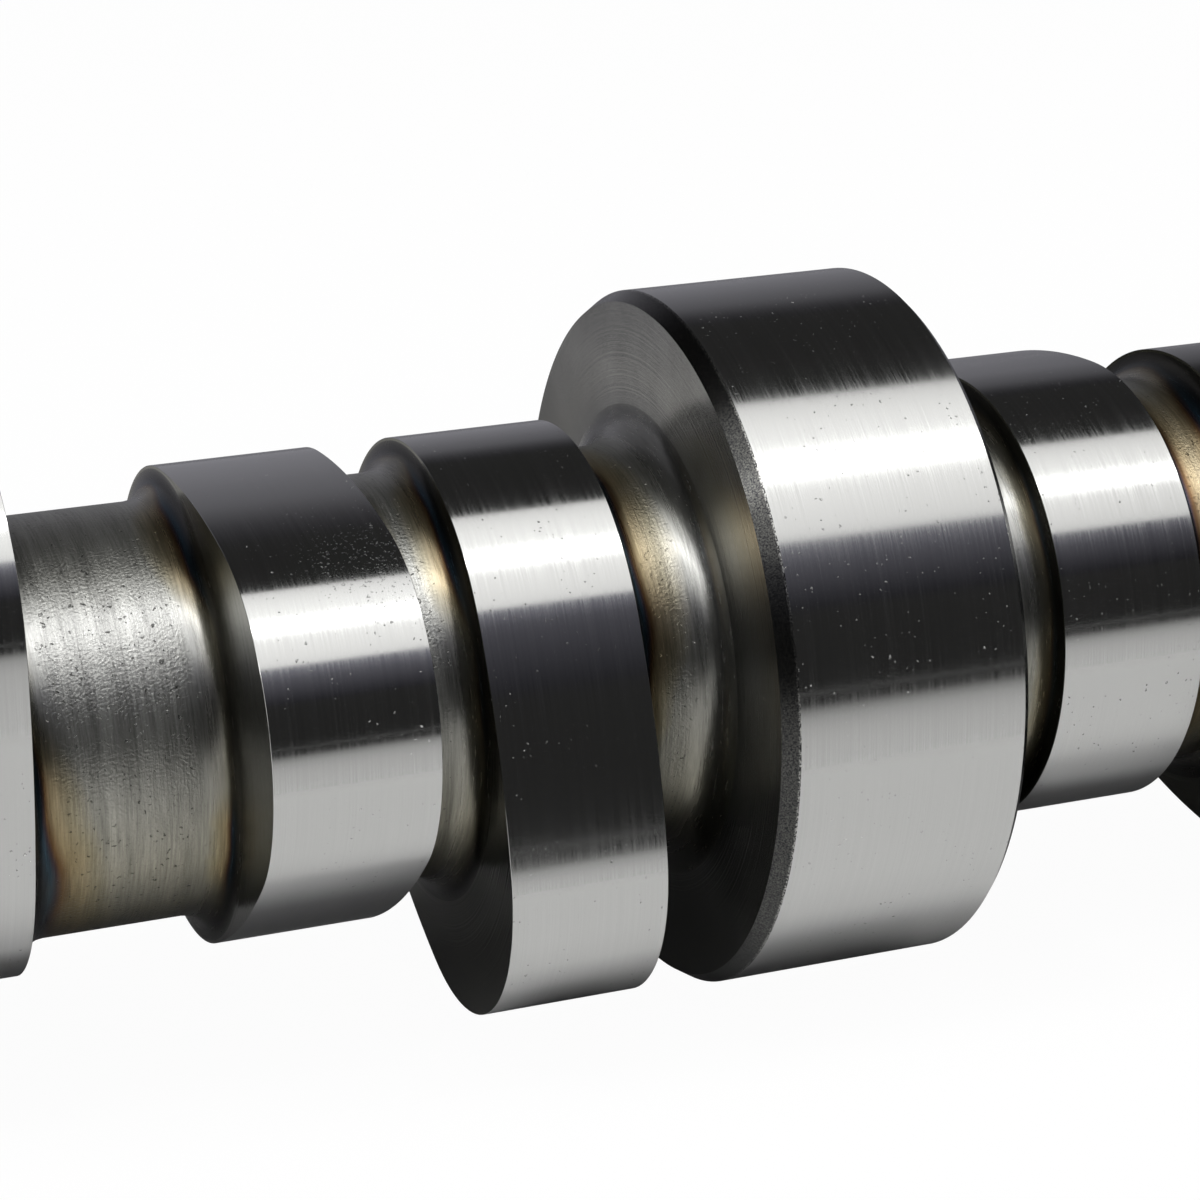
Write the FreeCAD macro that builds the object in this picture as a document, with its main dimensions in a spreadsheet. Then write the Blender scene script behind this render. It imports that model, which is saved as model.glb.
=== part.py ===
"""Camshaft of an eight-cylinder pushrod engine, turned and ground from one steel bar.

The shaft lies along X with its front end at the origin and its rear end towards -X. Five bearing
journals divide it into four bays, and each bay carries the four lobes of its two cylinders: from
front to rear the odd cylinder's intake, the even one's exhaust, the odd one's exhaust and the even
one's intake. A dowel is pressed into the front end to time the chain sprocket.
Millimetres and degrees.
"""
import FreeCAD, Part
import math
import os

import Sketcher
from FreeCAD import Placement, Rotation, Vector

os.makedirs("parts", exist_ok=True)
doc = FreeCAD.newDocument("camshaft")

# Driving dimensions

SIZES = {
    # bearing journals
    "JournalPitch": 111.76,
    "JournalDiameter": 55.0,
    "JournalWidth": 19.8,
    "JournalRelief": 2.4,
    "LeadChamferLength": 1.23,
    "LeadChamferDepth": 0.79,
    "EdgeChamfer": 0.5,
    # lobes: outline; the nose radius is smaller than the base circle's by the inset
    "BaseDiameter": 36.3,
    "LobeLift": 8.95,
    "NoseInset": 4.65,
    "LobeDuration": 159.0,
    "LobeWidth": 12.2,
    # lobes: the core between them stands this far below the base circle
    "LobeStep": 2.45,
    "LobeRelief": 1.8,
    "CollarClearance": 0.1,
    # lobes: gaps along the shaft within one bay, from the rear journal to the front one
    "RearJournalGap": 7.83,
    "RearPairGap": 6.92,
    "FrontPairGap": 6.57,
    "FrontJournalGap": 6.88,
    # lobes: timing
    "LobeSeparation": 113.0,
    "BankAngle": 90.0,
    "ShaftTurn": 62.6,
    # front end
    "ThrustJournalExtra": 5.0,
    "BossDiameter": 46.0,
    "BossLength": 6.5,
    "BossChamfer": 0.8,
    "BoltCircle": 32.0,
    "TapDrill": 6.8,
    "TapDepth": 22.0,
    "DowelCircle": 30.0,
    "DowelDiameter": 6.0,
    "DowelDepth": 12.0,
    "DowelLength": 18.0,
    "DowelChamfer": 0.6,
    # rear end and lathe centres
    "RearJournalExtra": 4.0,
    "CentreDrill": 4.0,
    "CentreDepth": 7.0,
    "CentreMouth": 10.0,
    "CentreAngle": 60.0,
}
FIRING_ORDER = (1, 8, 7, 2, 6, 5, 4, 3)
SPROCKET_BOLTS = 3
BAYS = len(FIRING_ORDER) // 2

sheet = doc.addObject("Spreadsheet::Sheet", "Sizes")
for row, (alias, value) in enumerate(SIZES.items(), start=1):
    sheet.set(f"A{row}", alias)
    sheet.set(f"B{row}", str(value))
    sheet.setAlias(f"B{row}", alias)
doc.recompute()

# Derived sizes, written as formulas on the sheet

JOURNAL_R = "Sizes.JournalDiameter / 2"
HALF_JOURNAL = "Sizes.JournalWidth / 2"
BASE_R = "Sizes.BaseDiameter / 2"
CORE_R = f"({BASE_R} - Sizes.LobeStep)"
# a collar under every lobe carries its inside corners and stays just inside the base circle
COLLAR_R = f"({BASE_R} - Sizes.CollarClearance)"
# where a flank leaves the base circle, and the centre and radius of the nose
NOSE_R = f"({BASE_R} - Sizes.NoseInset)"
NOSE_X = f"({BASE_R} + Sizes.LobeLift - {NOSE_R})"
LEAVE_X = f"({BASE_R} * cos(Sizes.LobeDuration / 2 * 1 deg))"
REAR_INTAKE = f"({HALF_JOURNAL} + Sizes.RearJournalGap + Sizes.LobeWidth / 2)"
REAR_EXHAUST = f"({REAR_INTAKE} + Sizes.LobeWidth + Sizes.RearPairGap)"
FRONT_INTAKE = f"(Sizes.JournalPitch - {HALF_JOURNAL} - Sizes.FrontJournalGap - Sizes.LobeWidth / 2)"
FRONT_EXHAUST = f"({FRONT_INTAKE} - Sizes.LobeWidth - Sizes.FrontPairGap)"
THRUST_FACE = f"({HALF_JOURNAL} + Sizes.ThrustJournalExtra)"
FRONT_BEARING = f"(0 - Sizes.BossLength - {THRUST_FACE})"
REAR_BEARING = f"({FRONT_BEARING} - {BAYS} * Sizes.JournalPitch)"
REAR_END = f"({REAR_BEARING} - {HALF_JOURNAL} - Sizes.RearJournalExtra)"


def number(formula):
    """The value that a formula has now."""
    value = sheet.evalExpression(formula)
    return float(getattr(value, "Value", value))


# Helpers

def origin_plane(body, role):
    """One of the body's own origin planes or axes, found by its role."""
    return next(item for item in body.Origin.OriginFeatures if item.Role == role)


def new_sketch(body, name, role, along="0", turn="0"):
    """A sketch on an origin plane, moved along the shaft and turned about it."""
    sketch = body.newObject("Sketcher::SketchObject", name)
    sketch.AttachmentSupport = [(origin_plane(body, role), "")]
    sketch.MapMode = "FlatFace"
    sketch.AttachmentOffset = Placement(Vector(0, 0, 0), Rotation(Vector(0, 0, 1), 0))
    if role == "YZ_Plane":
        sketch.setExpression("AttachmentOffset.Base.z", along)
        sketch.setExpression("AttachmentOffset.Rotation.Angle", turn)
    else:
        sketch.setExpression("AttachmentOffset.Base.x", along)
    return sketch


def draw_profile(sketch, corners):
    """A closed half-section above the shaft's axis.

    Each corner is a pair of formulas, the distance along the axis and the radius.
    """
    places = [Vector(number(along), number(radius), 0) for along, radius in corners]
    count = len(corners)
    for index in range(count):
        sketch.addGeometry(Part.LineSegment(places[index - 1], places[index]))

    def drive(kind, corner_index, value, formula):
        index = sketch.addConstraint(Sketcher.Constraint(kind, -1, 1, corner_index, 2, value))
        sketch.setExpression(f"Constraints[{index}]", formula)

    for index, corner in enumerate(corners):
        before = corners[index - 1]
        following = (index + 1) % count
        sketch.addConstraint(Sketcher.Constraint("Coincident", index, 2, following, 1))
        if index == 0:
            sketch.addConstraint(Sketcher.Constraint("Coincident", index, 2, -1, 1))
            sketch.addConstraint(Sketcher.Constraint("Horizontal", index))
            continue
        if corner[0] == before[0]:
            sketch.addConstraint(Sketcher.Constraint("Vertical", index))
        else:
            drive("DistanceX", index, places[index].x, corner[0])
        if corner[1] == before[1]:
            if index + 1 < count:
                sketch.addConstraint(Sketcher.Constraint("Horizontal", index))
        elif index + 1 < count:
            drive("DistanceY", index, places[index].y, corner[1])


def revolve(body, sketch, name):
    """Turn a half-section once round the shaft's axis."""
    turned = body.newObject("PartDesign::Revolution", name)
    turned.Profile = sketch
    turned.ReferenceAxis = (sketch, ["H_Axis"])
    turned.Angle = 360
    return turned


def drill(body, sketch, name, diameter, depth, mouth=None, inward=True):
    """A blind drilled hole at a sketch's circle, with a countersunk mouth where one is given."""
    doc.recompute()
    hole = body.newObject("PartDesign::Hole", name)
    hole.Profile = sketch
    hole.DepthType = "Dimension"
    hole.Reversed = not inward
    hole.DrillPoint = "Angled"
    hole.setExpression("Diameter", diameter)
    hole.setExpression("Depth", depth)
    if mouth:
        hole.HoleCutType = "Countersink"
        hole.setExpression("HoleCutCountersinkAngle", "Sizes.CentreAngle")
        hole.setExpression("HoleCutDiameter", mouth)
    doc.recompute()
    if hole.Shape.Volume >= hole.BaseFeature.Shape.Volume:
        raise ValueError(name + " cuts nothing")
    return hole


# Turned blank: one bay, repeated, and the two ends

shaft = doc.addObject("PartDesign::Body", "camshaft")
shaft.Label = "camshaft"


def lobe_collar(centre):
    """The corners of the collar under one lobe, from its rear relief to its front one.

    The reliefs are cones, close to the small rounds that the turning tool leaves there.
    """
    rear = f"({centre} - Sizes.LobeWidth / 2)"
    front = f"({centre} + Sizes.LobeWidth / 2)"
    foot = f"({CORE_R} + Sizes.LobeRelief)"
    return [
        (f"({rear} - Sizes.LobeRelief)", CORE_R),
        (rear, foot),
        (rear, COLLAR_R),
        (front, COLLAR_R),
        (front, foot),
        (f"({front} + Sizes.LobeRelief)", CORE_R),
    ]


def journal_front_side():
    """The front half of the bay's rear journal."""
    return [
        ("0", JOURNAL_R),
        (f"{HALF_JOURNAL} - Sizes.EdgeChamfer", JOURNAL_R),
        (HALF_JOURNAL, f"{JOURNAL_R} - Sizes.EdgeChamfer"),
        (HALF_JOURNAL, f"{CORE_R} + Sizes.JournalRelief"),
        (f"{HALF_JOURNAL} + Sizes.JournalRelief", CORE_R),
    ]


def journal_rear_side():
    """The rear half of the bay's front journal, with the long chamfer that leads it into its bore."""
    face = f"Sizes.JournalPitch - {HALF_JOURNAL}"
    return [
        (f"{face} - Sizes.JournalRelief", CORE_R),
        (face, f"{CORE_R} + Sizes.JournalRelief"),
        (face, f"{JOURNAL_R} - Sizes.LeadChamferDepth"),
        (f"{face} + Sizes.LeadChamferLength", JOURNAL_R),
        ("Sizes.JournalPitch", JOURNAL_R),
    ]


bay_corners = [("0", "0")] + journal_front_side()
for lobe_centre in (REAR_INTAKE, REAR_EXHAUST, FRONT_EXHAUST, FRONT_INTAKE):
    bay_corners += lobe_collar(lobe_centre)
bay_corners += journal_rear_side() + [("Sizes.JournalPitch", "0")]

bay_sketch = new_sketch(shaft, "bay_section", "XZ_Plane", along=REAR_BEARING)
draw_profile(bay_sketch, bay_corners)
bay = revolve(shaft, bay_sketch, "bay")

bays = shaft.newObject("PartDesign::LinearPattern", "bays")
bays.Originals = [bay]
bays.Direction = (bay_sketch, ["H_Axis"])
bays.Occurrences = BAYS
bays.setExpression("Length", f"{BAYS - 1} * Sizes.JournalPitch")
shaft.Tip = bays

front_sketch = new_sketch(shaft, "front_section", "XZ_Plane", along=FRONT_BEARING)
BOSS_FACE = f"{THRUST_FACE} + Sizes.BossLength"
BOSS_R = "Sizes.BossDiameter / 2"
draw_profile(front_sketch, [
    ("0", "0"),
    ("0", JOURNAL_R),
    (f"{THRUST_FACE} - Sizes.EdgeChamfer", JOURNAL_R),
    (THRUST_FACE, f"{JOURNAL_R} - Sizes.EdgeChamfer"),
    (THRUST_FACE, BOSS_R),
    (f"{BOSS_FACE} - Sizes.BossChamfer", BOSS_R),
    (BOSS_FACE, f"{BOSS_R} - Sizes.BossChamfer"),
    (BOSS_FACE, "0"),
])
revolve(shaft, front_sketch, "front_end")

rear_sketch = new_sketch(shaft, "rear_section", "XZ_Plane", along=REAR_END)
REAR_DEPTH = f"{HALF_JOURNAL} + Sizes.RearJournalExtra"
draw_profile(rear_sketch, [
    ("0", "0"),
    ("0", f"{JOURNAL_R} - Sizes.LeadChamferDepth"),
    ("Sizes.LeadChamferLength", JOURNAL_R),
    (REAR_DEPTH, JOURNAL_R),
    (REAR_DEPTH, "0"),
])
revolve(shaft, rear_sketch, "rear_end")


# Ground lobes

def draw_lobe(sketch):
    """A lobe outline of four tangent arcs with its nose on the sketch's +X side."""
    base_r = number(BASE_R)
    nose_r = number(NOSE_R)
    nose_x = number(NOSE_X)
    leave_x = number(LEAVE_X)
    leave = math.radians(number("Sizes.LobeDuration") / 2)
    flank_r = base_r**2 + nose_x**2 - nose_r**2 - 2 * nose_x * leave_x
    flank_r /= 2 * (base_r - nose_r - nose_x * math.cos(leave))
    back = flank_r - base_r
    flank_x = -back * math.cos(leave)
    flank_y = -back * math.sin(leave)
    meet = math.atan2(-flank_y, nose_x - flank_x)
    up = Vector(0, 0, 1)
    base = Part.Circle(Vector(0, 0, 0), up, base_r)
    upper = Part.Circle(Vector(flank_x, flank_y, 0), up, flank_r)
    nose = Part.Circle(Vector(nose_x, 0, 0), up, nose_r)
    lower = Part.Circle(Vector(flank_x, -flank_y, 0), up, flank_r)
    sketch.addGeometry(Part.ArcOfCircle(base, leave, 2 * math.pi - leave))
    sketch.addGeometry(Part.ArcOfCircle(lower, 2 * math.pi - leave, 2 * math.pi - meet))
    sketch.addGeometry(Part.ArcOfCircle(nose, -meet, meet))
    sketch.addGeometry(Part.ArcOfCircle(upper, meet, leave))
    for arc in range(4):
        sketch.addConstraint(Sketcher.Constraint("Tangent", arc, 2, (arc + 1) % 4, 1))
    sketch.addConstraint(Sketcher.Constraint("Coincident", 0, 3, -1, 1))
    sketch.addConstraint(Sketcher.Constraint("PointOnObject", 2, 3, -1))
    driven = (
        (Sketcher.Constraint("Radius", 0, base_r), BASE_R),
        (Sketcher.Constraint("Radius", 2, nose_r), NOSE_R),
        (Sketcher.Constraint("DistanceX", -1, 1, 2, 3, nose_x), NOSE_X),
        (Sketcher.Constraint("DistanceX", -1, 1, 0, 1, leave_x), LEAVE_X),
        (Sketcher.Constraint("DistanceX", -1, 1, 0, 2, leave_x), LEAVE_X),
    )
    for constraint, formula in driven:
        index = sketch.addConstraint(constraint)
        sketch.setExpression(f"Constraints[{index}]", formula)


def lobe_turn(cylinder, is_intake):
    """How far round the shaft a lobe's nose stands, from +Y towards +Z.

    The cam turns by the firing interval from one cylinder to the next. Odd cylinders stand in one
    bank and even ones in the other, and an intake follows its exhaust by the lobe separation.
    """
    interval = 360 / len(FIRING_ORDER)
    side = 1 if cylinder % 2 else -1
    timing = f"{interval * FIRING_ORDER.index(cylinder)} - {side} * Sizes.BankAngle / 2"
    if is_intake:
        timing += " + Sizes.LobeSeparation"
    return f"mod({timing} - Sizes.ShaftTurn + 360; 360)"


for bay_index in range(BAYS):
    odd = 2 * bay_index + 1
    even = odd + 1
    bay_rear = f"{FRONT_BEARING} - {bay_index + 1} * Sizes.JournalPitch"
    for cylinder, is_intake, centre in (
        (odd, True, FRONT_INTAKE),
        (even, False, FRONT_EXHAUST),
        (odd, False, REAR_EXHAUST),
        (even, True, REAR_INTAKE),
    ):
        name = f"{'intake' if is_intake else 'exhaust'}_{cylinder}"
        lobe_rear = f"{bay_rear} + {centre} - Sizes.LobeWidth / 2"
        turn = lobe_turn(cylinder, is_intake)
        lobe_sketch = new_sketch(shaft, name + "_outline", "YZ_Plane", along=lobe_rear, turn=turn)
        draw_lobe(lobe_sketch)
        lobe = shaft.newObject("PartDesign::Pad", name)
        lobe.Profile = lobe_sketch
        lobe.setExpression("Length", "Sizes.LobeWidth")


# Front end: tapped sprocket holes and dowel hole; lathe centres at both ends

def circle_sketch(name, diameter, radius="0", along="0", turn="0"):
    """A sketch across the shaft with one circle at a radius."""
    sketch = new_sketch(shaft, name, "YZ_Plane", along=along, turn=turn)
    place = Vector(number(radius), 0, 0)
    sketch.addGeometry(Part.Circle(place, Vector(0, 0, 1), number(diameter) / 2))
    if radius == "0":
        sketch.addConstraint(Sketcher.Constraint("Coincident", 0, 3, -1, 1))
    else:
        sketch.addConstraint(Sketcher.Constraint("PointOnObject", 0, 3, -1))
        out = sketch.addConstraint(Sketcher.Constraint("DistanceX", -1, 1, 0, 3, place.x))
        sketch.setExpression(f"Constraints[{out}]", radius)
    size = sketch.addConstraint(Sketcher.Constraint("Diameter", 0, number(diameter)))
    sketch.setExpression(f"Constraints[{size}]", diameter)
    return sketch


BOLT_RADIUS = "Sizes.BoltCircle / 2"
bolt_sketch = circle_sketch("sprocket_bolt_place", "Sizes.TapDrill", BOLT_RADIUS, turn="90")
bolt_hole = drill(shaft, bolt_sketch, "sprocket_bolt_hole", "Sizes.TapDrill", "Sizes.TapDepth")
bolt_holes = shaft.newObject("PartDesign::PolarPattern", "sprocket_bolt_holes")
bolt_holes.Originals = [bolt_hole]
bolt_holes.Axis = (bolt_sketch, ["N_Axis"])
bolt_holes.Angle = 360
bolt_holes.Occurrences = SPROCKET_BOLTS
shaft.Tip = bolt_holes

DOWEL_RADIUS = "Sizes.DowelCircle / 2"
dowel_sketch = circle_sketch("dowel_place", "Sizes.DowelDiameter", DOWEL_RADIUS, turn="270")
dowel_hole = drill(shaft, dowel_sketch, "dowel_hole", "Sizes.DowelDiameter", "Sizes.DowelDepth")
dowel_hole.DrillPoint = "Flat"

for name, along, inward in (("front_centre", "0", True), ("rear_centre", REAR_END, False)):
    centre_sketch = circle_sketch(name + "_place", "Sizes.CentreDrill", along=along)
    drill(shaft, centre_sketch, name, "Sizes.CentreDrill", "Sizes.CentreDepth",
          mouth="Sizes.CentreMouth", inward=inward)

# Dowel pin: pressed to the bottom of its hole, its outer end stands proud for the sprocket

pin = doc.addObject("PartDesign::Body", "dowel_pin")
pin.Label = "dowel_pin"
pin_sketch = new_sketch(pin, "dowel_pin_section", "XZ_Plane", along="0")
PIN_R = "Sizes.DowelDiameter / 2"
draw_profile(pin_sketch, [
    ("0", "0"),
    ("0", f"{PIN_R} - Sizes.DowelChamfer"),
    ("Sizes.DowelChamfer", PIN_R),
    ("Sizes.DowelLength - Sizes.DowelChamfer", PIN_R),
    ("Sizes.DowelLength", f"{PIN_R} - Sizes.DowelChamfer"),
    ("Sizes.DowelLength", "0"),
])
revolve(pin, pin_sketch, "dowel_pin_turned")
pin.setExpression("Placement.Base.x", "0 - Sizes.DowelDepth")
pin.setExpression("Placement.Base.z", f"0 - {DOWEL_RADIUS}")

# Checks and export

doc.recompute()
for item in doc.Objects:
    if "Invalid" in item.State or "Error" in item.State:
        raise ValueError(f"{item.Label} failed: {item.State}")
for body in (shaft, pin):
    shape = body.Shape
    if shape.isNull() or not shape.isValid() or len(shape.Solids) != 1:
        raise ValueError(f"{body.Label} is not one valid solid")
    shape.exportStep(f"parts/{body.Label}.step")
    box = shape.BoundBox
    extent = f"{box.XLength:.2f} x {box.YLength:.2f} x {box.ZLength:.2f} mm"
    print(f"{body.Label}: {shape.Volume:.0f} mm3, {extent}")
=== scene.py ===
# %% [markdown]
# # A ground steel camshaft in a photographer's studio
#
# This lesson dresses one solid part, an engine's camshaft. It is a steel bar with round bearing
# journals and pear-shaped lobes. The hard part is not the shape but the finish: metal has no colour
# of its own to show, so what the eye sees is the studio in it. We load the measured model as a frame,
# build a finer mesh over it, give each finish its own material, and then set up the studio.

import math

import bmesh
import bpy
import numpy as np
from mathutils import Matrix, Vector


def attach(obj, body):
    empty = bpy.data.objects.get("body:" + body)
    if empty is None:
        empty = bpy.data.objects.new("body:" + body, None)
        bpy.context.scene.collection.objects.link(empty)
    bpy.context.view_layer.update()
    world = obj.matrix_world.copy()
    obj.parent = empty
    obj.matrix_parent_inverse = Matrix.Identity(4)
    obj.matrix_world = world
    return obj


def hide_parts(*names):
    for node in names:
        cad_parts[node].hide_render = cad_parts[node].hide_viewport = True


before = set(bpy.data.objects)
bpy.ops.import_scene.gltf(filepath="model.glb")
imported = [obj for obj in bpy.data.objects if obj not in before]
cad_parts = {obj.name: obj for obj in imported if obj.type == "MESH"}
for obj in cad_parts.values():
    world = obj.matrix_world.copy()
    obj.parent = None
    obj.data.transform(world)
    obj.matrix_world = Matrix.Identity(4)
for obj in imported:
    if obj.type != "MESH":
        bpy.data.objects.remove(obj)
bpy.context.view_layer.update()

# %% [markdown]
# # The camera first
#
# Where the camera stands decides how every edge lines up, so it comes before the looks. A long lens,
# here a little over 100 mm, stands about a quarter of a metre away and looks down by some twenty
# degrees. A camera in Blender looks along its own -Z, so we turn that axis to the viewing direction.
# The other way, typing in three angles, works too but is hard to read later.

# %% Camera
CAMERA_PLACE = (-0.34939, -0.23650, 0.10000)    # metres
LENS_MM = 103.86

scene = bpy.context.scene
camera_data = bpy.data.cameras.new("product_camera")
camera_data.lens = LENS_MM
camera_data.sensor_width = 36.0
camera_data.clip_start = 0.01
camera = bpy.data.objects.new("product_camera", camera_data)
camera.location = CAMERA_PLACE
looking = Vector((0.3350, 0.8728, -0.3550))
camera.rotation_euler = looking.to_track_quat("-Z", "Y").to_euler()
scene.collection.objects.link(camera)
scene.camera = camera
print("camera looks down by", round(math.degrees(math.asin(-looking.normalized().z)), 1), "degrees")

# %% [markdown]
# # The shaft as a stack of rings
#
# A camshaft is turned in a lathe and then ground, so along its length it is a row of round or
# pear-shaped sections. A stack of rings, each with the same number of points, follows that: two
# neighbouring rings make one band of faces. Boolean cuts on cylinders would also give the form, but
# they leave long thin faces whose shading breaks up in a mirror-like finish.
#
# The sizes are in millimetres, and the shaft lies along X with its front end at zero.

# %% Sizes of the shaft in millimetres
JOURNAL_PITCH = 111.76    # from one bearing journal to the next
JOURNAL_R = 27.5
HALF_JOURNAL = 9.9        # half a journal's width
LEAD_LENGTH, LEAD_DEPTH = 1.23, 0.79    # the long chamfer at a journal's rear
EDGE_CHAMFER = 0.5        # the short one at its front
THRUST_EXTRA = 5.0        # how much wider the front journal is
REAR_EXTRA = 4.0          # and the rear one
BOSS_R, BOSS_LENGTH, BOSS_CHAMFER = 23.0, 6.5, 0.8    # the seat of the sprocket
CORE_R = 15.7
BASE_R = 18.15            # a lobe where its valve is shut
NOSE_R = 13.5             # the arc at a lobe's tip
LIFT = 8.95
LOBE_WIDTH = 12.2
FLANK_START = math.radians(79.5)    # from the tip to where the base circle begins
LOBE_ROUND = 2.2          # inside corner beside a lobe, left by the nose of the turning tool
JOURNAL_ROUND = 3.0       # inside corner beside a journal
GROUND_EDGE = 0.03        # the small bevel that an oilstone leaves on a ground edge

FRONT_BEARING = -BOSS_LENGTH - THRUST_EXTRA - HALF_JOURNAL
BEARINGS = [FRONT_BEARING - JOURNAL_PITCH * index for index in range(5)]
LOBE_PLACES = (23.83, 42.95, 70.11, 88.88)    # from a bay's rear bearing to the middle of each lobe
print("bearings at", [round(place, 2) for place in BEARINGS])

# %% [markdown]
# # Where each lobe points
#
# The lobes open the valves of eight cylinders in their firing order. The cam turns 45 degrees from
# one cylinder to the next, the two banks stand 90 degrees apart, and each intake lobe follows its
# exhaust lobe by 113 degrees. Working the angles out from the order, and not typing sixteen numbers,
# keeps the lobes right for each other.

# %% Lobe angles
FIRING_ORDER = (1, 8, 7, 2, 6, 5, 4, 3)
CAM_STEP, HALF_BANK, INTAKE_AFTER = 45, 45, 113    # degrees of the cam
TURNED_BACK = 62.6      # how far the shaft is turned back as it lies on the table


def nose_angle(cylinder, is_intake):
    """Degrees from +Y towards +Z at which a lobe's nose points."""
    side = 1 if cylinder % 2 else -1
    angle = CAM_STEP * FIRING_ORDER.index(cylinder) - HALF_BANK * side - TURNED_BACK
    if is_intake:
        angle += INTAKE_AFTER
    return angle % 360


LOBES = []
for bay in range(3, -1, -1):
    odd, even = 2 * bay + 1, 2 * bay + 2
    rear_bearing = BEARINGS[bay + 1]
    valves = ((even, True), (odd, False), (even, False), (odd, True))
    for (cylinder, is_intake), place in zip(valves, LOBE_PLACES):
        LOBES.append((rear_bearing + place, nose_angle(cylinder, is_intake)))
print(len(LOBES), "lobes, noses at", [round(angle, 1) for _, angle in LOBES])

# %% [markdown]
# # The outline of a lobe
#
# A lobe is drawn with four arcs that run into each other without a corner: the base circle, on which
# the valve stays shut, a large flank arc on each side, and the small nose. For a ring we need the
# distance from the shaft's axis at each angle, which each arc gives in closed form.

# %% Radius of a lobe all round
AROUND = 192
ANGLES = np.linspace(0, 2 * math.pi, AROUND, endpoint=False)


def lobe_radii(nose_degrees):
    """Distance of the lobe's outline from the axis at each of the ring's angles."""
    nose_x = BASE_R + LIFT - NOSE_R
    cos_start = math.cos(FLANK_START)
    flank_r = BASE_R**2 + nose_x**2 - NOSE_R**2 - 2 * nose_x * BASE_R * cos_start
    flank_r /= 2 * (BASE_R - NOSE_R - nose_x * cos_start)
    back = flank_r - BASE_R
    flank_centre = Vector((-back * cos_start, -back * math.sin(FLANK_START)))
    meet = math.atan2(-flank_centre.y, nose_x - flank_centre.x)
    nose_end = math.atan2(NOSE_R * math.sin(meet), nose_x + NOSE_R * math.cos(meet))
    off = np.abs((ANGLES - math.radians(nose_degrees) + math.pi) % (2 * math.pi) - math.pi)
    radii = np.full(AROUND, BASE_R)
    along = flank_centre.x * np.cos(off) + flank_centre.y * np.sin(off)
    flank = along + np.sqrt(flank_r**2 - flank_centre.length_squared + along**2)
    nose = nose_x * np.cos(off) + np.sqrt(np.maximum(NOSE_R**2 - (nose_x * np.sin(off))**2, 0))
    radii = np.where(off < FLANK_START, flank, radii)
    return np.where(off < nose_end, nose, radii)


print("lobe reaches from", lobe_radii(0).min(), "to", round(float(lobe_radii(0).max()), 2), "mm")

# %% [markdown]
# # Rings with a memory
#
# Each ring also remembers two distances along the shaft. One is to the nearest lobe: steel beside a
# lobe that was hardened takes a heat tint, straw, brown, purple and blue from far to near, and the
# material will read this distance to place those colours. The other is to the nearest flat side of
# any kind: the round nose of the tool leaves that corner smoother than the open core.
#
# Each band of faces between two rings has one of five finishes, which stand here for the numbers of
# the materials that come later.

# %% A list of rings
GROUND, TURNED, CHAMFER, SIDE, FACED = 0, 1, 2, 3, 4
ring_x, ring_r, band_finish = [], [], []


def from_lobe(x):
    """Distance along the shaft to the side of the nearest lobe."""
    return min(max(abs(x - middle) - LOBE_WIDTH / 2, 0.0) for middle, _ in LOBES)


def from_wall(x):
    """Distance along the shaft to the nearest flat side of a lobe or a journal."""
    journals = [max(abs(x - bearing) - HALF_JOURNAL, 0.0) for bearing in BEARINGS]
    return min(from_lobe(x), *journals)


def add_ring(x, radii, finish):
    """One ring, and the finish of the band of faces that follows it."""
    ring_x.append(x)
    ring_r.append(np.broadcast_to(np.asarray(radii, dtype=float), (AROUND,)))
    band_finish.append(finish)


def add_round(face_x, toward, round_r, outward, side_finish):
    """The inside corner at a flat side; toward is the way along X in which the core lies."""
    steps = 6
    order = range(steps + 1) if outward else range(steps, -1, -1)
    for step in order:
        turn = math.pi / 2 * step / steps
        x = face_x + toward * round_r * (1 - math.sin(turn))
        last = outward and step == steps
        add_ring(x, CORE_R + round_r * (1 - math.cos(turn)), side_finish if last else TURNED)


def add_face(face_x, inner, outer, outward, finish):
    """Rings across a flat side, without its inner and outer ends."""
    shares = (0.33, 0.66) if outward else (0.66, 0.33)
    for share in shares:
        add_ring(face_x, inner + share * (outer - inner), finish)


print("front bearing is", round(from_lobe(FRONT_BEARING), 2), "mm from its nearest lobe")

# %% [markdown]
# # Walk along the shaft
#
# We start at the rear end and walk forward: round corner, flat side, small ground edge, ground
# surface, and the same in mirror image on the far side. The bearing journals have a long lead-in
# chamfer at their rear and a short one at their front.

# %% Lobes and journals, from the rear end to the front
def add_lobe(middle, nose_degrees):
    """One lobe with its two sides."""
    rear, front = middle - LOBE_WIDTH / 2, middle + LOBE_WIDTH / 2
    outline = lobe_radii(nose_degrees)
    foot = CORE_R + LOBE_ROUND
    edge = outline - GROUND_EDGE
    add_round(rear, -1, LOBE_ROUND, True, SIDE)
    add_face(rear, foot, edge, True, SIDE)
    add_ring(rear, edge, GROUND)
    add_ring(rear + GROUND_EDGE, outline, GROUND)
    add_ring(front - GROUND_EDGE, outline, GROUND)
    add_ring(front, edge, SIDE)
    add_face(front, foot, edge, False, SIDE)
    add_round(front, 1, LOBE_ROUND, False, SIDE)


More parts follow.
